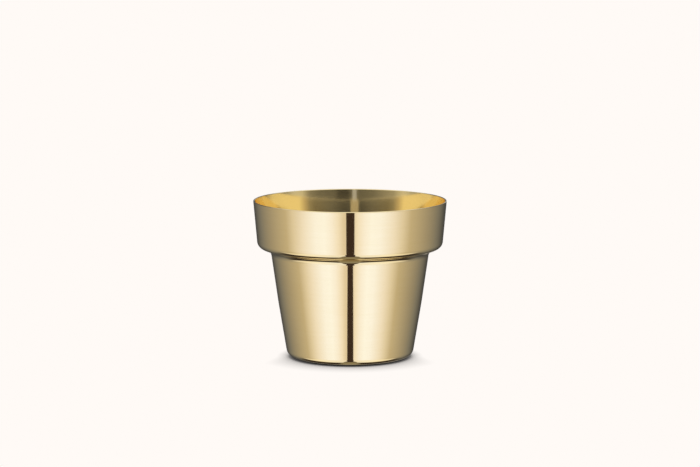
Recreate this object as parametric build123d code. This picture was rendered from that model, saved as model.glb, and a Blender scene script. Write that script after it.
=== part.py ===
from build123d import *
import math
import os

# A cachepot in polished brass. A tapering cup hangs by its flange in a wider collar, a brazed seam
# locks the two together, and a felt disc in the base keeps the metal off the furniture.
# Sizes are millimetres. The origin is the middle of the base on the table, with +Z up.
# Sections are drawn as radius against height and turned about Z. Bend radii are those of the inner side.

# Overall form
pot_height = 106.2
rim_diameter = 130.0
sheet = 1.0

# Collar: the leaning band round the mouth, and the flat shoulder turned in below it
collar_height = 32.3
collar_taper_deg = 5.2
collar_bend_radius = 4.0
rim_edge_radius = 0.42

# Body: its wall starts this far in from the foot of the collar and narrows towards the base
shoulder_step = 8.41
body_taper_deg = 8.8
wall_swell = 0.4
base_bend_radius = 4.0
flange_bend_radius = 0.8
flange_edge_gap = 0.8

# Brazed seam: room for the alloy round the body's bend, and the hollow fillet that is polished into it
# from the wall out to the collar's bend
seam_gap = 0.15
seam_radius = 6.0
seam_toe = 0.05

# Base: flat ring, step up to the recessed panel, and the felt disc that fills the recess
ring_width = 2.6
step_run = 2.5
step_bend_radius = 0.5
felt_thickness = 2.0
felt_stand_off = 0.8
felt_edge_radius = 0.4
felt_gap = 0.5

# Levels, from the table up
ring_level = felt_stand_off
panel_level = felt_thickness
shoulder_level = pot_height - collar_height
flange_level = shoulder_level + sheet

# Radii, from the rim in
rim_radius = rim_diameter / 2
collar_lean = math.tan(math.radians(collar_taper_deg))
collar_foot_radius = rim_radius - collar_lean * collar_height
collar_bend_outside = collar_bend_radius + sheet
collar_bend_run = collar_bend_outside * math.tan(math.radians(90 - collar_taper_deg) / 2)
shoulder_flat_radius = collar_foot_radius - collar_bend_run
flange_radius = shoulder_flat_radius - flange_edge_gap
body_top_radius = collar_foot_radius - shoulder_step
body_base_radius = body_top_radius - math.tan(math.radians(body_taper_deg)) * (flange_level - ring_level)
base_bend_outside = base_bend_radius + sheet
ring_outer_radius = body_base_radius - base_bend_outside * math.tan(math.radians(90 - body_taper_deg) / 2)
ring_inner_radius = ring_outer_radius - ring_width
recess_radius = ring_inner_radius - step_run
felt_radius = recess_radius - felt_gap

# Line of the body's wall: two straight runs that meet in a shallow corner halfway up
wall_foot = Vector(body_base_radius, ring_level)
wall_head = Vector(body_top_radius, flange_level)
wall_out = Vector(wall_head.Y - wall_foot.Y, wall_foot.X - wall_head.X).normalized()
wall_middle = (wall_foot + wall_head) * 0.5 + wall_out * (2 * wall_swell)
wall_turn = math.radians((wall_middle - wall_foot).get_angle(wall_head - wall_middle))

# The head of the wall, where it bends into the flange and passes through the shoulder's hole
head_lean = (wall_head.X - wall_middle.X) / (wall_head.Y - wall_middle.Y)
head_angle = math.atan(head_lean)
flange_bend_run = flange_bend_radius * math.tan((math.pi / 2 - head_angle) / 2)
hole_radius = body_top_radius + flange_bend_run + seam_gap

# The fillet in the crease under the shoulder: it touches the wall on one side, the collar's bend on the other
wall_side = Vector(math.cos(head_angle), -math.sin(head_angle))
wall_rise = Vector(math.sin(head_angle), math.cos(head_angle))
collar_bend_centre = Vector(shoulder_flat_radius, shoulder_level + collar_bend_outside)
seam_start = wall_head + wall_side * seam_radius
seam_reach = seam_start - collar_bend_centre
seam_rise = seam_reach.dot(wall_rise)
touching = seam_radius + collar_bend_outside
seam_drop = seam_rise + math.sqrt(seam_rise**2 - seam_reach.length**2 + touching**2)
seam_centre = seam_start - wall_rise * seam_drop

# The wall's shallow corner is rounded into one long swell, short of the base's bend and of the seam
swell_run = (wall_head - wall_middle).length - max(base_bend_outside, seam_drop)
swell_radius = swell_run / math.tan(wall_turn / 2)


def sheet_section(outline):
    """Closed section of sheet metal whose lower and outer side is the outline."""
    return make_face(offset(outline, sheet, side=Side.LEFT, closed=True).edges())


def spun(section):
    """Solid turned about the pot's axis from a section."""
    return revolve(Plane.XZ * section, Axis.Z)


def body_section():
    """Recessed base, standing ring, swelling wall and flange in one run of sheet."""
    outline = FilletPolyline(
        (0, panel_level),
        (recess_radius, panel_level),
        (ring_inner_radius, ring_level),
        wall_foot,
        wall_middle,
        wall_head,
        (flange_radius, flange_level),
        radius=[step_bend_radius, step_bend_radius + sheet, base_bend_outside, swell_radius, flange_bend_radius],
    )
    return sheet_section(outline)


def collar_section():
    """Shoulder and leaning wall in one run of sheet, trimmed level at the rim and rounded there."""
    outline = FilletPolyline(
        (hole_radius, shoulder_level),
        (collar_foot_radius, shoulder_level),
        (rim_radius + collar_lean * sheet, pot_height + sheet),
        radius=[collar_bend_outside],
    )
    trim = Pos(rim_radius, pot_height) * Rectangle(rim_radius, 4 * sheet, align=(Align.CENTER, Align.MIN))
    section = sheet_section(outline) - trim
    return fillet(section.vertices().sort_by(Axis.Y)[-2:], rim_edge_radius)


def seam_section(body):
    """Alloy that fills the groove beside the bend and rounds the crease below it, blunt at both toes."""
    toe_rise = shoulder_level - seam_toe - seam_centre.Y
    shoulder_toe_deg = 180 - math.degrees(math.asin(toe_rise / seam_radius))
    wall_toe_deg = 180 - math.degrees(head_angle) - math.degrees(math.acos(1 - seam_toe / seam_radius))
    hollow = CenterArc(seam_centre, seam_radius, shoulder_toe_deg, wall_toe_deg - shoulder_toe_deg)
    shoulder_toe = hollow @ 0
    wall_toe = hollow @ 1
    inside_wall = wall_toe + (wall_toe - seam_centre).normalized() * (seam_toe + sheet / 2)
    sides = Polyline(
        wall_toe,
        inside_wall,
        (body_top_radius - sheet / 2, flange_level),
        (hole_radius, flange_level),
        (hole_radius, shoulder_level),
        (shoulder_toe.X, shoulder_level),
        shoulder_toe,
    )
    return make_face([*sides.edges(), hollow]) - body


def felt_disc():
    """Disc that lies against the recessed panel and stands a little proud of the ring."""
    disc = Cylinder(felt_radius, felt_thickness, align=(Align.CENTER, Align.CENTER, Align.MIN))
    return fillet(disc.edges().group_by(Axis.Z)[0], felt_edge_radius)


body = body_section()
pieces = {
    "pot_body": spun(body),
    "rim_collar": spun(collar_section()),
    "brazed_seam": spun(seam_section(body)),
    "base_felt": felt_disc(),
}

os.makedirs("parts", exist_ok=True)
for name, solid in pieces.items():
    export_step(solid, f"parts/{name}.step")
    print(name, round(solid.volume, 1), "mm3")
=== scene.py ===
import math
from collections import namedtuple

import bpy
from bpy.props import FloatProperty, FloatVectorProperty, IntProperty, PointerProperty
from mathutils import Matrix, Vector, noise


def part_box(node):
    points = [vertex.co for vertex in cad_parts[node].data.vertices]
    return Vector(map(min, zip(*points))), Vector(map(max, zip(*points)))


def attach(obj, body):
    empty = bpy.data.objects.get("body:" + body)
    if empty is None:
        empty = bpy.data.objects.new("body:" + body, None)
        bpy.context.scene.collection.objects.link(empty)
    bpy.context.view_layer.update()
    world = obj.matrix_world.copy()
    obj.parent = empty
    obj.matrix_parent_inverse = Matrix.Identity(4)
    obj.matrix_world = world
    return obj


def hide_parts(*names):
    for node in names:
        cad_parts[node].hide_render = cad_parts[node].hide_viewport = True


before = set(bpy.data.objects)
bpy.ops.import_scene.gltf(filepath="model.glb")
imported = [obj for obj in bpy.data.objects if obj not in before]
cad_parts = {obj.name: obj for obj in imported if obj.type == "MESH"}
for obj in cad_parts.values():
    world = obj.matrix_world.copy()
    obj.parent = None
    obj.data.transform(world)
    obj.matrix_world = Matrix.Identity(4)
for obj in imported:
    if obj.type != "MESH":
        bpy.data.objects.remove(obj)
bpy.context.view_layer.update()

bl_info = {
    "name": "Brass Cachepot",
    "version": (1, 0, 0),
    "blender": (4, 5, 0),
    "location": "3D View > Sidebar > Cachepot",
    "description": "Spun brass cachepot with a stepped collar, on a pale studio floor",
    "category": "Add Mesh",
}

MM = 0.001
ROOT_BODY = "root"

collar_low, collar_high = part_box("rim_collar")
body_low, body_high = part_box("pot_body")
felt_low, felt_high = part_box("base_felt")


def length(name, description, default):
    """Property for a size in metres."""
    settings = {"default": default, "min": 0.0, "unit": "LENGTH", "precision": 5}
    return FloatProperty(name=name, description=description, **settings)


def angle(name, description, degrees):
    """Property for an angle, given in degrees."""
    settings = {"default": math.radians(degrees), "subtype": "ANGLE"}
    return FloatProperty(name=name, description=description, **settings)


def share(name, description, default):
    """Property for a plain factor."""
    return FloatProperty(name=name, description=description, default=default, min=0.0)


def colour(name, description, default):
    """Property for a linear colour."""
    settings = {"default": default, "min": 0.0, "subtype": "COLOR"}
    return FloatVectorProperty(name=name, description=description, **settings)


class CachepotSizes(bpy.types.PropertyGroup):
    """Sizes of the spun sheet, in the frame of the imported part"""

    rim_level: length("Rim level", "Height of the rim above the table", collar_high.z)
    shoulder_level: length("Shoulder level", "Height of the underside of the collar's shoulder", collar_low.z)
    ring_level: length("Ring level", "Height of the base's standing ring above the table", body_low.z)
    flange_radius: length("Flange radius", "Radius of the body's flange inside the collar", body_high.x)
    felt_radius: length("Felt radius", "Radius of the felt disc", felt_high.x)
    felt_thickness: length("Felt thickness", "Thickness of the felt disc", felt_high.z)
    felt_edge: length("Felt edge", "Rounding of the felt's lower edge", 0.4 * MM)
    felt_grain: length("Felt grain", "Size of the hollows in the felt", 0.8 * MM)
    felt_nap: length("Felt nap", "Depth of those hollows", 0.08 * MM)
    rim_radius: length("Rim radius", "Outside radius of the collar at the rim", 65 * MM)
    sheet: length("Sheet", "Thickness of the brass", 1 * MM)
    collar_taper: angle("Collar taper", "Lean of the collar's wall", 5.2)
    collar_bend: length("Collar bend", "Outside radius of the collar's lower corner", 5 * MM)
    rim_edge: length("Rim edge", "Rounding of the trimmed rim", 0.42 * MM)
    shoulder_step: length("Shoulder step", "How far the collar stands out from the body", 8.41 * MM)
    body_taper: angle("Body taper", "Lean of the body's wall", 8.8)
    wall_swell: length("Wall swell", "How far the body's wall stands out from a straight line", 0.4 * MM)
    base_bend: length("Base bend", "Outside radius of the body's lower corner", 5 * MM)
    flange_bend: length("Flange bend", "Inner radius of the bend under the flange", 0.8 * MM)
    seam_gap: length("Seam gap", "Room for alloy between the body's bend and the collar", 0.15 * MM)
    seam_radius: length("Seam radius", "Radius of the hollow fillet between the wall and the collar", 6 * MM)
    seam_toe: length("Seam toe", "How far the alloy stands proud where its fillet runs out", 0.05 * MM)
    ring_width: length("Ring width", "Width of the flat ring round the base", 2.6 * MM)
    step_run: length("Step run", "Width of the slope from the ring up to the base's panel", 2.5 * MM)
    step_bend: length("Step bend", "Inner radius of the two bends beside that slope", 0.5 * MM)
    cut_edge: length("Cut edge", "Rounding that polishing leaves on a cut edge of the sheet", 0.12 * MM)
    segments: IntProperty(name="Segments", description="Facets round the axis", default=320, min=32)


class CachepotFinish(bpy.types.PropertyGroup):
    """Colours and polish of the brass and the felt"""

    brass: colour("Brass", "Colour of clean polished brass", (0.88, 0.73, 0.43))
    brass_deep: colour("Deep brass", "Colour where the brass has toned down a little", (0.865, 0.71, 0.405))
    brushed: colour("Brushed brass", "Colour of the brushed inside", (0.90, 0.775, 0.50))
    brushed_deep: colour("Deep brushed brass", "Colour between the brush lines inside", (0.885, 0.755, 0.475))
    braze: colour("Braze", "Colour of the brazing alloy", (0.88, 0.75, 0.47))
    polish: share("Polish", "Least roughness of the polished outside", 0.03)
    satin: share("Satin", "Least roughness of the brushed inside", 0.045)
    felt: colour("Felt", "Colour of the felt", (0.022, 0.021, 0.02))
    felt_fibre: colour("Felt fibre", "Colour of the paler fibres in the felt", (0.06, 0.057, 0.053))


class CachepotStage(bpy.types.PropertyGroup):
    """Floor, light panels and camera"""

    paper: colour("Paper", "Colour of the floor", (1.0, 0.956, 0.922))
    overhead: colour("Overhead", "Light of the panel above the pot", (1.15, 1.15, 1.15))
    dusk: colour("Dusk", "Light just under the horizon, below the front panels' edge", (0.36, 0.33, 0.28))
    back_glow: colour("Back glow", "Light of the room behind the pot", (0.45, 0.42, 0.38))
    under: colour("Under", "Light from the shaded table behind the pot's foot", (0.045, 0.034, 0.027))
    strip: colour("Strip", "Light of the narrow strip behind the pot", (0.50, 0.485, 0.47))
    panel_turn: angle("Panel turn", "How far the front panels are turned towards the right", 2.5)
    gap: colour("Gap", "Light from the dark gap between the front panels", (0.05, 0.033, 0.028))
    gap_shift: FloatProperty(name="Gap shift", description="How far it lies to the right", default=0.007)
    table_glow: colour("Table glow", "Light from the table straight below", (0.30, 0.27, 0.20))
    shadow_side: length("Side shadow", "How far the soft shadow reaches beside the foot", 8 * MM)
    shadow_front: length("Front shadow", "How far the soft shadow reaches before the foot", 22 * MM)
    mirror_depth: IntProperty(name="Mirror depth", description="Reflections followed in the pot", default=12)
    lens: FloatProperty(name="Lens", description="Focal length in millimetres", default=138.3, unit="CAMERA")
    distance: length("Camera distance", "From the pot's axis to the camera, level", 1.793)
    height: length("Camera height", "Camera above the table", 0.3263)
    pitch: angle("Camera pitch", "How far the camera looks down", 7.711)


Corner = namedtuple("Corner", "radius level bend finish")
Station = namedtuple("Station", "point normal finish")

ARC_STEP = math.radians(4)
RUN_STEP = 2.5 * MM
OUTSIDE, INSIDE = 0, 1
FLOOR_RADIUS = 2.0
FLOOR_SEGMENTS = 96
SENSOR_WIDTH = 36.0

# Light by bearing from the camera's side, in degrees: level with the walls, near straight down, and raised
PANEL_SWEEP = [
    (5, (0.86, 0.80, 0.76)),
    (12, (1.03, 1.02, 1.12)),
    (20, (1.10, 1.16, 1.46)),
    (29, (1.14, 1.26, 1.66)),
    (40, (1.12, 1.22, 1.60)),
    (58, (1.00, 1.00, 1.13)),
    (70, (0.84, 0.80, 0.77)),
    (82, (0.615, 0.555, 0.45)),
    (110, (0.405, 0.375, 0.33)),
    (135, (0.23, 0.23, 0.23)),
    (155, (0.10, 0.10, 0.10)),
    (180, (0.03, 0.03, 0.03)),
]
LOW_SWEEP = [
    (5, (1.00, 1.00, 1.05)),
    (55, (1.10, 1.12, 1.20)),
    (75, (1.10, 1.09, 1.06)),
    (91, (0.98, 0.93, 0.84)),
]
RAISED_SWEEP = [
    (46, (1.04, 0.97, 0.70)),
    (64, (0.60, 0.54, 0.42)),
    (76, (0.34, 0.33, 0.29)),
    (90, (0.235, 0.225, 0.20)),
    (130, (0.17, 0.175, 0.19)),
    (160, (0.09, 0.095, 0.11)),
]
PANEL_GAIN = 2.0

# Half width of the gap between the panels, by how high they are looked up: 0 is straight down, 1 straight up
GAP_SWEEP = [
    (0.05, 0.135),
    (0.10, 0.075),
    (0.20, 0.10),
    (0.25, 0.087),
    (0.30, 0.067),
    (0.33, 0.084),
]

# Light of the dim room level with the pot, by bearing: left of the camera is below zero
HORIZON_SWEEP = [
    (-80, (0.74, 0.69, 0.50)),
    (-68, (0.66, 0.60, 0.42)),
    (-62, (0.50, 0.45, 0.31)),
    (-55, (0.33, 0.295, 0.21)),
    (-40, (0.24, 0.215, 0.155)),
    (-28, (0.16, 0.145, 0.105)),
    (-14, (0.13, 0.117, 0.087)),
    (-9, (0.15, 0.135, 0.10)),
    (-7, (0.44, 0.43, 0.42)),
    (-4, (0.44, 0.43, 0.42)),
    (-2, (0.13, 0.117, 0.087)),
    (3, (0.045, 0.04, 0.03)),
    (13, (0.05, 0.044, 0.033)),
    (20, (0.125, 0.112, 0.083)),
    (40, (0.145, 0.13, 0.095)),
    (50, (0.22, 0.197, 0.14)),
    (55, (0.36, 0.32, 0.225)),
    (61, (0.62, 0.56, 0.39)),
    (76, (0.82, 0.75, 0.55)),
    (84, (0.78, 0.73, 0.53)),
]

# Soft edges of the studio's parts, each as the stretch over which the light changes. A side is measured
# across the view, a depth away from the camera and a level upwards. A turn is a share of a half turn.
BACK_GLOW_TURN = (0.93, 0.98)
BACK_GLOW_TOP = (-0.27, -0.31)
BACK_GLOW_FOOT = (-0.60, -0.52)
DUSK_TURN = (0.40, 0.32)
DUSK_LEVEL = (-0.29, -0.21)
TABLE_LEVEL = (-0.55, -0.75)
TABLE_SHADE_SLANT = -0.947
TABLE_SHADE_DEPTH = (-0.38, -0.28)
GAP_EDGE = (1.08, 0.92)
GAP_DEPTH = (0.45, 0.30)
GLOW_SIDE = (0.149, 0.119)
GLOW_LEVEL = (-0.925, -0.955)
FOOT_GLOW_SIDE = (0.075, 0.045)
FOOT_GLOW_DEPTH = (0.15, 0.30)
FOOT_GLOW_LEVEL = (-0.55, -0.65)
HORIZON_LEVEL = (-0.10, -0.06)
HORIZON_TURN = (0.66, 0.60)
STRIP_LEFT = (-0.01, 0.06)
STRIP_RIGHT = (0.40, 0.30)
STRIP_TURN = (0.80, 0.85)
RAISED_SIDE = (-0.1, 0.1)
RAISED_TURN = 0.022
RAISED_SLANT = 0.1
RAISED_LEVEL = (-0.006, 0.010)
OVERHEAD_LEVEL = (0.45, 0.70)

# The soft shadow on the floor, and the light that is left in its core and close to the pot's foot
SHADOW_CLIP = 0.4
SHADOW_CURVE = 0.35
SHADOW_CORE = 0.05
FOOT_LIGHT = 0.5
CONTACT_LIGHT = 0.08


def dim(light):
    """Light as a ramp holds it, which goes no higher than 1."""
    return [part / PANEL_GAIN for part in light]


def grey_ramp(stops):
    """Stops of plain values as the greys of a ramp."""
    return [(place, (value, value, value)) for place, value in stops]


def turn_right(v):
    """A vector turned right by a quarter turn."""
    return Vector((v.y, -v.x))


def turn_left(v, a):
    """A vector turned left by an angle."""
    return Vector((v.x * math.cos(a) - v.y * math.sin(a), v.x * math.sin(a) + v.y * math.cos(a)))


def spoke(a):
    """Unit vector at an angle."""
    return Vector((math.cos(a), math.sin(a)))


def stations(corners, closed, run_step=RUN_STEP):
    """Points and outward normals along a section whose corners are rounded by tangent arcs.
    The section runs with the metal on its left. Each corner names the finish of the run that leaves it."""
    points = [Vector((c.radius, c.level)) for c in corners]
    count = len(points)
    arcs = []
    for i, (corner, point) in enumerate(zip(corners, points)):
        if corner.bend == 0:
            arcs.append([point])
            continue
        back = (points[i - 1] - point).normalized()
        ahead = (points[(i + 1) % count] - point).normalized()
        turn = math.pi - back.angle(ahead)
        centre = point + (back + ahead).normalized() * (corner.bend / math.cos(turn / 2))
        arm = point + back * (corner.bend * math.tan(turn / 2)) - centre
        sign = 1 if back.x * ahead.y - back.y * ahead.x < 0 else -1
        steps = max(2, math.ceil(turn / ARC_STEP))
        arcs.append([centre + turn_left(arm, sign * turn * k / steps) for k in range(steps + 1)])
    found = []
    for i in range(count):
        arc = arcs[i]
        before = points[i - 1] if closed or i else None
        after = points[(i + 1) % count] if closed or i + 1 < count else None
        enter = turn_right(points[i] - before).normalized() if before else None
        leave = turn_right(after - points[i]).normalized() if after else None
        enter = enter or leave
        leave = leave or enter
        swing = enter.angle_signed(leave)
        for k, point in enumerate(arc):
            along = k / max(1, len(arc) - 1)
            found.append(Station(point, turn_left(enter, -swing * along), corners[i].finish))
        if after:
            start, end = arc[-1], arcs[(i + 1) % count][0]
            pieces = max(1, math.ceil((end - start).length / run_step))
            for k in range(1, pieces):
                found.append(Station(start.lerp(end, k / pieces), leave, corners[i].finish))
    return found


def spin(name, section, closed, finishes, segments):
    """Mesh object turned from a section about the axis, with exact normals and a material for each finish."""
    verts, normals, faces, marks, rings = [], [], [], [], []
    bearings = [2 * math.pi * s / segments for s in range(segments)]
    turns = [(math.cos(a), math.sin(a)) for a in bearings]
    for station in section:
        radius, level = station.point
        spokes = turns if radius > 1e-9 else [(1, 0)]
        rings.append(range(len(verts), len(verts) + len(spokes)))
        verts += [(radius * c, radius * s, level) for c, s in spokes]
        normals += [(station.normal.x * c, station.normal.x * s, station.normal.y) for c, s in spokes]
        if len(spokes) == 1:
            normals[-1] = (0, 0, math.copysign(1, station.normal.y))
    pairs = list(zip(range(len(rings)), range(1, len(rings))))
    if closed:
        pairs.append((len(rings) - 1, 0))
    for i, j in pairs:
        low, high = rings[i], rings[j]
        for s in range(segments):
            t = (s + 1) % segments
            corners = [low[s % len(low)], low[t % len(low)], high[t % len(high)], high[s % len(high)]]
            faces.append(list(dict.fromkeys(corners)))
            marks.append(section[i].finish)
    mesh = bpy.data.meshes.new(name)
    mesh.from_pydata(verts, [], faces)
    for material in finishes:
        mesh.materials.append(material)
    mesh.polygons.foreach_set("material_index", marks)
    mesh.polygons.foreach_set("use_smooth", [True] * len(faces))
    mesh.normals_split_custom_set_from_vertices(normals)
    mesh.update()
    piece = bpy.data.objects.new(name, mesh)
    bpy.context.scene.collection.objects.link(piece)
    return piece


def parallel(corners, gap):
    """The same run of sheet seen from its other side: lines moved left by the gap, bends kept concentric."""
    points = [Vector((c.radius, c.level)) for c in corners]
    moved = []
    for i, corner in enumerate(corners):
        ahead = (points[min(i + 1, len(points) - 1)] - points[min(i, len(points) - 2)]).normalized()
        back = (points[max(i, 1)] - points[max(i - 1, 0)]).normalized()
        left_ahead, left_back = -turn_right(ahead), -turn_right(back)
        shift = (left_ahead + left_back) / (1 + left_ahead.dot(left_back)) * gap
        turn = back.x * ahead.y - back.y * ahead.x
        bend = corner.bend - math.copysign(gap, turn) if corner.bend else 0
        moved.append(Corner(*(points[i] + shift), bend, corner.finish))
    return moved


def collar_foot(s):
    """Radius at which the collar's wall would meet the shoulder, were their corner not rounded."""
    return s.rim_radius - math.tan(s.collar_taper) * (s.rim_level - s.shoulder_level)


def wall_line(s):
    """Foot, middle and head of the body's wall."""
    flange_level = s.shoulder_level + s.sheet
    head = Vector((collar_foot(s) - s.shoulder_step, flange_level))
    foot = Vector((head.x - math.tan(s.body_taper) * (flange_level - s.ring_level), s.ring_level))
    middle = (foot + head) / 2 + turn_right(head - foot).normalized() * (2 * s.wall_swell)
    return foot, middle, head


def head_lean(s):
    """Angle by which the top of the body's wall leans out."""
    _, middle, head = wall_line(s)
    return math.atan2(head.x - middle.x, head.y - middle.y)


def hole_radius(s):
    """Radius of the hole in the shoulder, which leaves room for alloy round the body's bend."""
    _, _, head = wall_line(s)
    return head.x + s.flange_bend * math.tan((math.pi / 2 - head_lean(s)) / 2) + s.seam_gap


def seam_fillet(s):
    """Centre of the fillet that touches wall and collar bend, and its drop below the wall's head."""
    _, _, head = wall_line(s)
    lean = head_lean(s)
    rise = Vector((math.sin(lean), math.cos(lean)))
    flat_end = collar_foot(s) - s.collar_bend * math.tan((math.pi / 2 - s.collar_taper) / 2)
    start = head + turn_right(rise) * s.seam_radius
    reach = start - Vector((flat_end, s.shoulder_level + s.collar_bend))
    along = reach.dot(rise)
    drop = along + math.sqrt(along**2 - reach.length_squared + (s.seam_radius + s.collar_bend) ** 2)
    return start - rise * drop, drop


def swell_radius(s):
    """Radius that rounds the wall's shallow corner, short of the base's bend and of the seam."""
    foot, middle, head = wall_line(s)
    _, drop = seam_fillet(s)
    run = (head - middle).length - max(s.base_bend, drop)
    return run / math.tan((middle - foot).angle(head - middle) / 2)


def ring_radius(s):
    """Radius at which the base's flat ring begins to bend up into the wall."""
    foot, _, _ = wall_line(s)
    return foot.x - s.base_bend * math.tan((math.pi / 2 - s.body_taper) / 2)


def body_section(s):
    """Underside and outside of the body from the axis to the flange, then its inside back to the axis."""
    foot, middle, head = wall_line(s)
    ring_inner = ring_radius(s) - s.ring_width
    recess = ring_inner - s.step_run
    under = [
        Corner(0, s.felt_thickness, 0, OUTSIDE),
        Corner(recess, s.felt_thickness, s.step_bend, OUTSIDE),
        Corner(ring_inner, s.ring_level, s.step_bend + s.sheet, OUTSIDE),
        Corner(foot.x, foot.y, s.base_bend, OUTSIDE),
        Corner(middle.x, middle.y, swell_radius(s), OUTSIDE),
        Corner(head.x, head.y, s.flange_bend, INSIDE),
        Corner(s.flange_radius, head.y, 0, INSIDE),
    ]
    over = parallel(under, s.sheet)
    edge = [under[-1]._replace(bend=s.cut_edge), over[-1]._replace(bend=s.cut_edge)]
    return under[:-1] + edge + [c._replace(finish=INSIDE) for c in reversed(over[:-1])]


def collar_section(s):
    """Shoulder and wall of the collar, round the rim and back down the inside to the shoulder's hole."""
    under = [
        Corner(hole_radius(s), s.shoulder_level, 0, OUTSIDE),
        Corner(collar_foot(s), s.shoulder_level, s.collar_bend, OUTSIDE),
        Corner(s.rim_radius, s.rim_level, 0, OUTSIDE),
    ]
    over = parallel(under, s.sheet)
    inner_rim = s.rim_radius - s.sheet / math.cos(s.collar_taper)
    rim = [under[-1]._replace(bend=s.rim_edge), Corner(inner_rim, s.rim_level, s.rim_edge, INSIDE)]
    hole_edge = [over[0]._replace(bend=s.cut_edge, finish=INSIDE), under[0]._replace(bend=s.cut_edge)]
    return hole_edge[1:] + under[1:-1] + rim + [over[1]._replace(finish=INSIDE)] + hole_edge[:1]


def seam_section(s):
    """Hollow fillet from the wall to the collar's bend, blunt at both toes, and the alloy behind it."""
    _, _, head = wall_line(s)
    centre, _ = seam_fillet(s)
    high = math.pi - math.asin((s.shoulder_level - s.seam_toe - centre.y) / s.seam_radius)
    low = math.pi - head_lean(s) - math.acos(1 - s.seam_toe / s.seam_radius)
    corner = centre + spoke((low + high) / 2) * (s.seam_radius / math.cos((low - high) / 2))
    wall_toe = centre + spoke(low) * s.seam_radius - turn_right(spoke(low)) * s.seam_toe
    wall_root = wall_toe + spoke(low) * (s.seam_toe + s.sheet / 2)
    shoulder_toe = centre + spoke(high) * s.seam_radius + turn_right(spoke(high)) * s.seam_toe
    blunt = s.seam_toe / 2
    return [
        Corner(*wall_root, 0, OUTSIDE),
        Corner(*wall_toe, blunt, OUTSIDE),
        Corner(*corner, s.seam_radius, OUTSIDE),
        Corner(*shoulder_toe, blunt, OUTSIDE),
        Corner(shoulder_toe.x, s.shoulder_level, 0, OUTSIDE),
        Corner(hole_radius(s), s.shoulder_level, 0, OUTSIDE),
        Corner(hole_radius(s), head.y, 0, OUTSIDE),
        Corner(head.x, head.y, s.flange_bend, OUTSIDE),
    ]


def felt_section(s):
    """Underside, rounded edge and top of the felt disc."""
    return [
        Corner(0, felt_low.z, 0, OUTSIDE),
        Corner(s.felt_radius, felt_low.z, s.felt_edge, OUTSIDE),
        Corner(s.felt_radius, s.felt_thickness, s.cut_edge, OUTSIDE),
        Corner(0, s.felt_thickness, 0, OUTSIDE),
    ]


class Tree:
    """A short way to add nodes to a node tree and join them."""

    def __init__(self, owner):
        owner.use_nodes = True
        self.tree = owner.node_tree
        self.tree.nodes.clear()

    def add(self, kind, inputs=None, **settings):
        made = self.tree.nodes.new(kind)
        for name, value in settings.items():
            setattr(made, name, value)
        for key, value in (inputs or {}).items():
            if isinstance(value, bpy.types.NodeSocket):
                self.tree.links.new(value, made.inputs[key])
            else:
                made.inputs[key].default_value = value
        return made

    def maths(self, operation, *values):
        """One result of a sum on plain numbers."""
        return self.add("ShaderNodeMath", dict(enumerate(values)), operation=operation).outputs[0]

    def vector(self, operation, *values):
        """One result of a sum on vectors."""
        return self.add("ShaderNodeVectorMath", dict(enumerate(values)), operation=operation).outputs[0]

    def reach(self, value):
        """Length of a vector."""
        return self.add("ShaderNodeVectorMath", {0: value}, operation="LENGTH").outputs["Value"]

    def ramp(self, value, stops):
        """Colour from stops along a value."""
        made = self.add("ShaderNodeValToRGB", {0: value})
        elements = made.color_ramp.elements
        for i, (place, tint) in enumerate(stops):
            element = elements[i] if i < 2 else elements.new(place)
            element.position = place
            element.color = (*tint, 1)
        return made.outputs[0]

    def sweep(self, bearing, stops):
        """Light by bearing, from stops in degrees."""
        made = self.ramp(bearing, [(degrees / 180, dim(light)) for degrees, light in stops])
        return self.scale(made, PANEL_GAIN)

    def scale(self, value, factor):
        """A vector or a colour times a factor."""
        return self.add("ShaderNodeVectorMath", {0: value, "Scale": factor}, operation="SCALE").outputs[0]

    def both(self, *masks):
        """Mask that is one only where all the masks are."""
        shared = masks[0]
        for mask in masks[1:]:
            shared = self.maths("MULTIPLY", shared, mask)
        return shared

    def cover(self, light, mask, other):
        """A light covered by another one, or by a plain colour, where the mask is one."""
        if not isinstance(other, bpy.types.NodeSocket):
            other = (*other, 1)
        return self.add("ShaderNodeMix", {0: mask, 6: light, 7: other}, data_type="RGBA").outputs[2]

    def smooth(self, value, start, end):
        """Mask that goes softly from nought to one between two values."""
        settings = {"Value": value, "From Min": start, "From Max": end}
        return self.add("ShaderNodeMapRange", settings, interpolation_type="SMOOTHSTEP").outputs[0]

    def between(self, value, low, high):
        """A value from nought to one, brought between two others."""
        return self.add("ShaderNodeMapRange", {"Value": value, "To Min": low, "To Max": high}).outputs[0]


def spin_lines(t, spacing, around):
    """Noise drawn out round the axis, as the lines that spinning and polishing leave on a turned surface."""
    place = t.add("ShaderNodeTexCoord").outputs["Object"]
    flat = t.vector("MULTIPLY", place, (1, 1, 0))
    level = t.add("ShaderNodeSeparateXYZ", {0: place}).outputs["Z"]
    along = t.maths("DIVIDE", t.maths("ADD", t.reach(flat), level), spacing)
    heading = t.scale(t.vector("NORMALIZE", flat), around)
    course = t.add("ShaderNodeCombineXYZ", {"Z": along}).outputs[0]
    settings = {"Vector": t.vector("ADD", heading, course), "Scale": 1.0, "Detail": 2.0, "Roughness": 0.55}
    return t.add("ShaderNodeTexNoise", settings).outputs[0]


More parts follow.
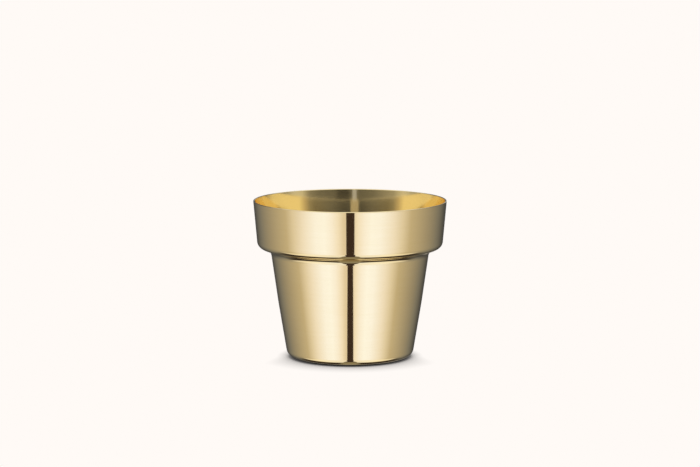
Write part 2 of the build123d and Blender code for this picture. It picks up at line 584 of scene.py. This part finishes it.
def brass_material(name, clean, deep, roughness, spread, lines, bump, anisotropy=0.0):
    """Brass whose tone, gloss and surface follow fine lines round the axis."""
    material = bpy.data.materials.new(name)
    t = Tree(material)
    fine = spin_lines(t, spacing=lines, around=6.0)
    broad = spin_lines(t, spacing=lines * 7, around=2.5)
    place = t.add("ShaderNodeTexCoord").outputs["Object"]
    cloud = t.add("ShaderNodeTexNoise", {"Vector": place, "Scale": 28.0, "Detail": 3.0}).outputs[0]
    mottle = t.maths("ADD", t.maths("MULTIPLY", cloud, 0.5), t.maths("MULTIPLY", broad, 0.5))
    tone = t.ramp(mottle, [(0.35, deep), (0.65, clean)])
    haze = t.between(mottle, 0.0, spread * 0.5)
    gloss = t.maths("ADD", t.between(fine, roughness, roughness + spread), haze)
    relief = t.add("ShaderNodeBump", {"Strength": bump, "Distance": 0.02 * MM, "Height": fine}).outputs[0]
    settings = {"Base Color": tone, "Metallic": 1.0, "Roughness": gloss, "Normal": relief}
    if anisotropy:
        settings["Anisotropic"] = anisotropy
        settings["Anisotropic Rotation"] = 0.25
        settings["Tangent"] = t.add("ShaderNodeTangent", direction_type="RADIAL", axis="Z").outputs[0]
    shader = t.add("ShaderNodeBsdfPrincipled", settings)
    t.add("ShaderNodeOutputMaterial", {"Surface": shader.outputs[0]})
    return material


MIRROR = {"spread": 0.02, "lines": 0.25 * MM, "bump": 0.004}
SATIN = {"spread": 0.03, "lines": 0.2 * MM, "bump": 0.006, "anisotropy": 0.5}


def polished_brass(f):
    """Mirror polish of the outside, shared by the body and the collar."""
    found = bpy.data.materials.get("mirror_brass")
    return found or brass_material("mirror_brass", f.brass, f.brass_deep, f.polish, **MIRROR)


def satin_brass(f):
    """Fine satin of the inside, shared by the body and the collar."""
    found = bpy.data.materials.get("spun_satin_brass")
    return found or brass_material("spun_satin_brass", f.brushed, f.brushed_deep, f.satin, **SATIN)


def polished_braze(f):
    """Brazing alloy, polished with the outside."""
    return brass_material("polished_braze", f.braze, f.brass, f.polish, **MIRROR)


def felt_material(finish):
    """Pressed wool felt: matted fibres, a soft nap and a little lint."""
    material = bpy.data.materials.new("black_felt")
    t = Tree(material)
    place = t.add("ShaderNodeTexCoord").outputs["Object"]
    tangle = {"Vector": place, "Scale": 900.0, "Detail": 6.0, "Distortion": 2.0}
    fibres = t.add("ShaderNodeTexNoise", tangle).outputs[0]
    mat = t.add("ShaderNodeTexNoise", {"Vector": place, "Scale": 140.0, "Detail": 3.0}).outputs[0]
    lint = t.maths("MULTIPLY", fibres, t.between(mat, 0.7, 1.3))
    tone = t.ramp(lint, [(0.35, finish.felt), (0.75, finish.felt_fibre)])
    relief = t.add("ShaderNodeBump", {"Strength": 0.8, "Distance": 0.2 * MM, "Height": fibres}).outputs[0]
    shader = t.add("ShaderNodeBsdfPrincipled", {
        "Base Color": tone, "Roughness": t.between(fibres, 0.85, 1.0), "Normal": relief,
        "Sheen Weight": 0.35, "Sheen Roughness": 0.5,
    })
    t.add("ShaderNodeOutputMaterial", {"Surface": shader.outputs[0]})
    return material


def matt_surface(piece, grain, depth):
    """Presses small uneven hollows into a piece, as in matted fibres."""
    mesh = piece.data
    inward = [-v.normal.copy() for v in mesh.vertices]
    for vertex, way in zip(mesh.vertices, inward):
        vertex.co += way * (depth * (0.5 + 0.5 * noise.noise(vertex.co / grain)))
    mesh.update()
    mesh.normals_split_custom_set_from_vertices([v.normal for v in mesh.vertices])


def seat(piece, node):
    """Puts a piece on the part's body in place of its CAD node."""
    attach(piece, ROOT_BODY)
    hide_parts(node)


class CACHEPOT_OT_body(bpy.types.Operator):
    """Spin the tapering body with its recessed base and its flange"""

    bl_idname = "cachepot.body"
    bl_label = "Pot Body"

    def execute(self, context):
        s, f = context.scene.cachepot_sizes, context.scene.cachepot_finish
        finishes = [polished_brass(f), satin_brass(f)]
        piece = spin("pot_body_shell", stations(body_section(s), False), False, finishes, s.segments)
        seat(piece, "pot_body")
        return {"FINISHED"}


class CACHEPOT_OT_collar(bpy.types.Operator):
    """Spin the collar with its rounded rim and its shoulder"""

    bl_idname = "cachepot.collar"
    bl_label = "Rim Collar"

    def execute(self, context):
        s, f = context.scene.cachepot_sizes, context.scene.cachepot_finish
        finishes = [polished_brass(f), satin_brass(f)]
        piece = spin("rim_collar_shell", stations(collar_section(s), True), True, finishes, s.segments)
        seat(piece, "rim_collar")
        return {"FINISHED"}


class CACHEPOT_OT_seam(bpy.types.Operator):
    """Run the polished fillet of brazing alloy round the crease under the collar"""

    bl_idname = "cachepot.seam"
    bl_label = "Brazed Seam"

    def execute(self, context):
        s, f = context.scene.cachepot_sizes, context.scene.cachepot_finish
        finishes = [polished_braze(f)]
        piece = spin("brazed_seam_ring", stations(seam_section(s), True), True, finishes, s.segments)
        seat(piece, "brazed_seam")
        return {"FINISHED"}


class CACHEPOT_OT_felt(bpy.types.Operator):
    """Lay the felt disc into the recess of the base"""

    bl_idname = "cachepot.felt"
    bl_label = "Base Felt"

    def execute(self, context):
        s, f = context.scene.cachepot_sizes, context.scene.cachepot_finish
        section = stations(felt_section(s), False, s.felt_grain)
        piece = spin("base_felt_disc", section, False, [felt_material(f)], s.segments)
        matt_surface(piece, s.felt_grain, s.felt_nap)
        seat(piece, "base_felt")
        return {"FINISHED"}


def front_panels(t, stage, bearing, heading):
    """Pair of soft panels with a dark gap between them, dimming towards the back, pale at the table."""
    x, y, z = heading
    aside = t.maths("ABSOLUTE", x)
    light = t.sweep(bearing, PANEL_SWEEP)
    low_behind = t.both(t.smooth(z, *BACK_GLOW_TOP), t.smooth(z, *BACK_GLOW_FOOT))
    light = t.cover(light, t.both(t.smooth(bearing, *BACK_GLOW_TURN), low_behind), stage.back_glow)
    light = t.cover(light, t.both(t.smooth(bearing, *DUSK_TURN), t.smooth(z, *DUSK_LEVEL)), stage.dusk)
    shade = t.smooth(t.maths("MULTIPLY_ADD", aside, TABLE_SHADE_SLANT, y), *TABLE_SHADE_DEPTH)
    table = t.cover(t.sweep(bearing, LOW_SWEEP), shade, stage.under)
    light = t.cover(light, t.smooth(z, *TABLE_LEVEL), table)
    height = t.maths("MULTIPLY_ADD", z, 0.5, 0.5)
    half_gap = t.add("ShaderNodeSeparateColor", {0: t.ramp(height, grey_ramp(GAP_SWEEP))}).outputs[0]
    from_gap = t.maths("DIVIDE", t.maths("ABSOLUTE", t.maths("SUBTRACT", x, stage.gap_shift)), half_gap)
    light = t.cover(light, t.both(t.smooth(from_gap, *GAP_EDGE), t.smooth(y, *GAP_DEPTH)), stage.gap)
    below = t.both(t.smooth(aside, *GLOW_SIDE), t.smooth(z, *GLOW_LEVEL))
    past_foot = t.both(t.smooth(aside, *FOOT_GLOW_SIDE), t.smooth(y, *FOOT_GLOW_DEPTH))
    below = t.maths("MAXIMUM", below, t.both(past_foot, t.smooth(z, *FOOT_GLOW_LEVEL)))
    return t.cover(light, below, stage.table_glow)


def raised_light(t, stage, bearing, x):
    """Light from above the horizon, with a narrow strip behind the pot."""
    strip = t.both(t.smooth(x, *STRIP_LEFT), t.smooth(x, *STRIP_RIGHT), t.smooth(bearing, *STRIP_TURN))
    turned = t.maths("ADD", bearing, t.between(t.smooth(x, *RAISED_SIDE), 0.0, RAISED_TURN))
    return t.cover(t.sweep(turned, RAISED_SWEEP), strip, stage.strip)


def studio_light(stage):
    """World of soft panels in front, a dim horizon, raised light and a panel overhead. The camera sees only
    paper behind the pot."""
    world = bpy.data.worlds.new("studio_panels")
    t = Tree(world)
    heading = t.add("ShaderNodeSeparateXYZ", {0: t.add("ShaderNodeTexCoord").outputs["Generated"]}).outputs
    x, y, z = heading
    side = t.maths("SIGN", x)
    straight = t.maths("ARCTAN2", t.maths("ABSOLUTE", x), t.maths("MULTIPLY", y, -1.0))
    bearing = t.maths("DIVIDE", t.maths("MULTIPLY_ADD", side, stage.panel_turn, straight), math.pi)
    light = front_panels(t, stage, bearing, heading)
    signed = t.maths("MULTIPLY_ADD", t.maths("MULTIPLY", straight, side), 1 / math.pi, 0.5)
    horizon = t.ramp(signed, [(0.5 + degrees / 180, tint) for degrees, tint in HORIZON_SWEEP])
    light = t.cover(light, t.both(t.smooth(z, *HORIZON_LEVEL), t.smooth(bearing, *HORIZON_TURN)), horizon)
    raised = t.smooth(t.maths("MULTIPLY_ADD", y, RAISED_SLANT, z), *RAISED_LEVEL)
    light = t.cover(light, raised, raised_light(t, stage, bearing, x))
    light = t.cover(light, t.smooth(z, *OVERHEAD_LEVEL), stage.overhead)
    seen = t.add("ShaderNodeLightPath").outputs["Is Camera Ray"]
    shine = t.add("ShaderNodeBackground", {"Color": t.cover(light, seen, stage.paper), "Strength": 1.0})
    t.add("ShaderNodeOutputWorld", {"Surface": shine.outputs[0]})
    bpy.context.scene.world = world


def for_camera_only(piece):
    """Keeps a piece of the stage out of the light that falls on the pot."""
    piece.visible_glossy = False
    piece.visible_diffuse = False
    piece.visible_transmission = False
    piece.visible_shadow = False


def paper_floor(stage, sizes):
    """Round sheet of pale paper with the soft shadow that gathers round the pot's foot, clear from below."""
    material = bpy.data.materials.new("studio_paper")
    t = Tree(material)
    spot = t.add("ShaderNodeTexCoord").outputs["Object"]
    front = t.smooth(t.add("ShaderNodeSeparateXYZ", {0: spot}).outputs["Y"], 0.0, -sizes.felt_radius)
    reach = t.between(front, stage.shadow_side, stage.shadow_front)
    occlusion = t.add("ShaderNodeAmbientOcclusion", {"Distance": reach}, samples=16).outputs["AO"]
    open_sky = t.add("ShaderNodeMapRange", {"Value": occlusion, "From Min": SHADOW_CLIP}).outputs[0]
    lit = t.between(t.maths("POWER", open_sky, SHADOW_CURVE), SHADOW_CORE, 1.0)
    foot, _, _ = wall_line(sizes)
    ring = ring_radius(sizes)
    radius = t.reach(spot)
    beside = t.smooth(radius, ring - 1 * MM, 2 * foot.x - ring)
    clear = t.smooth(radius, ring - 1.5 * MM, ring + 0.5 * MM)
    lit = t.maths("MAXIMUM", lit, t.maths("MULTIPLY", beside, FOOT_LIGHT))
    lit = t.maths("MULTIPLY", lit, t.between(clear, CONTACT_LIGHT, 1.0))
    glow = t.add("ShaderNodeEmission", {"Color": (*stage.paper, 1), "Strength": lit}).outputs[0]
    nothing = t.add("ShaderNodeBsdfTransparent").outputs[0]
    back = t.add("ShaderNodeNewGeometry").outputs["Backfacing"]
    mixed = t.add("ShaderNodeMixShader", {0: back, 1: glow, 2: nothing})
    t.add("ShaderNodeOutputMaterial", {"Surface": mixed.outputs[0]})
    outline = [Corner(FLOOR_RADIUS, 0, 0, OUTSIDE), Corner(0, 0, 0, OUTSIDE)]
    sheet = stations(outline, False, FLOOR_RADIUS)
    for_camera_only(spin("studio_floor", sheet, False, [material], FLOOR_SEGMENTS))


class CACHEPOT_OT_stage(bpy.types.Operator):
    """Set up the floor, the light panels and the camera"""

    bl_idname = "cachepot.stage"
    bl_label = "Studio Stage"

    def execute(self, context):
        stage = context.scene.cachepot_stage
        studio_light(stage)
        paper_floor(stage, context.scene.cachepot_sizes)
        lens = bpy.data.cameras.new("photo_camera")
        lens.sensor_width = SENSOR_WIDTH
        lens.lens = stage.lens
        camera = bpy.data.objects.new("photo_camera", lens)
        camera.location = (0, -stage.distance, stage.height)
        camera.rotation_euler = (math.pi / 2 - stage.pitch, 0, 0)
        context.scene.collection.objects.link(camera)
        context.scene.camera = camera
        context.scene.view_settings.view_transform = "Standard"
        context.scene.cycles.glossy_bounces = stage.mirror_depth
        return {"FINISHED"}


class CACHEPOT_PT_panel(bpy.types.Panel):
    """Lists the pieces of the cachepot and the stage"""

    bl_idname = "CACHEPOT_PT_panel"
    bl_label = "Brass Cachepot"
    bl_space_type = "VIEW_3D"
    bl_region_type = "UI"
    bl_category = "Cachepot"

    def draw(self, context):
        for step in STEPS:
            self.layout.operator(step.bl_idname)


GROUPS = {"cachepot_sizes": CachepotSizes, "cachepot_finish": CachepotFinish, "cachepot_stage": CachepotStage}
STEPS = (CACHEPOT_OT_body, CACHEPOT_OT_collar, CACHEPOT_OT_seam, CACHEPOT_OT_felt, CACHEPOT_OT_stage)
CLASSES = (*GROUPS.values(), *STEPS, CACHEPOT_PT_panel)


def register():
    for made in CLASSES:
        bpy.utils.register_class(made)
    for name, group in GROUPS.items():
        setattr(bpy.types.Scene, name, PointerProperty(type=group))


def unregister():
    for name in GROUPS:
        delattr(bpy.types.Scene, name)
    for made in reversed(CLASSES):
        bpy.utils.unregister_class(made)


def main():
    register()
    bpy.ops.cachepot.body()
    bpy.ops.cachepot.collar()
    bpy.ops.cachepot.seam()
    bpy.ops.cachepot.felt()
    bpy.ops.cachepot.stage()


if __name__ == "__main__":
    main()
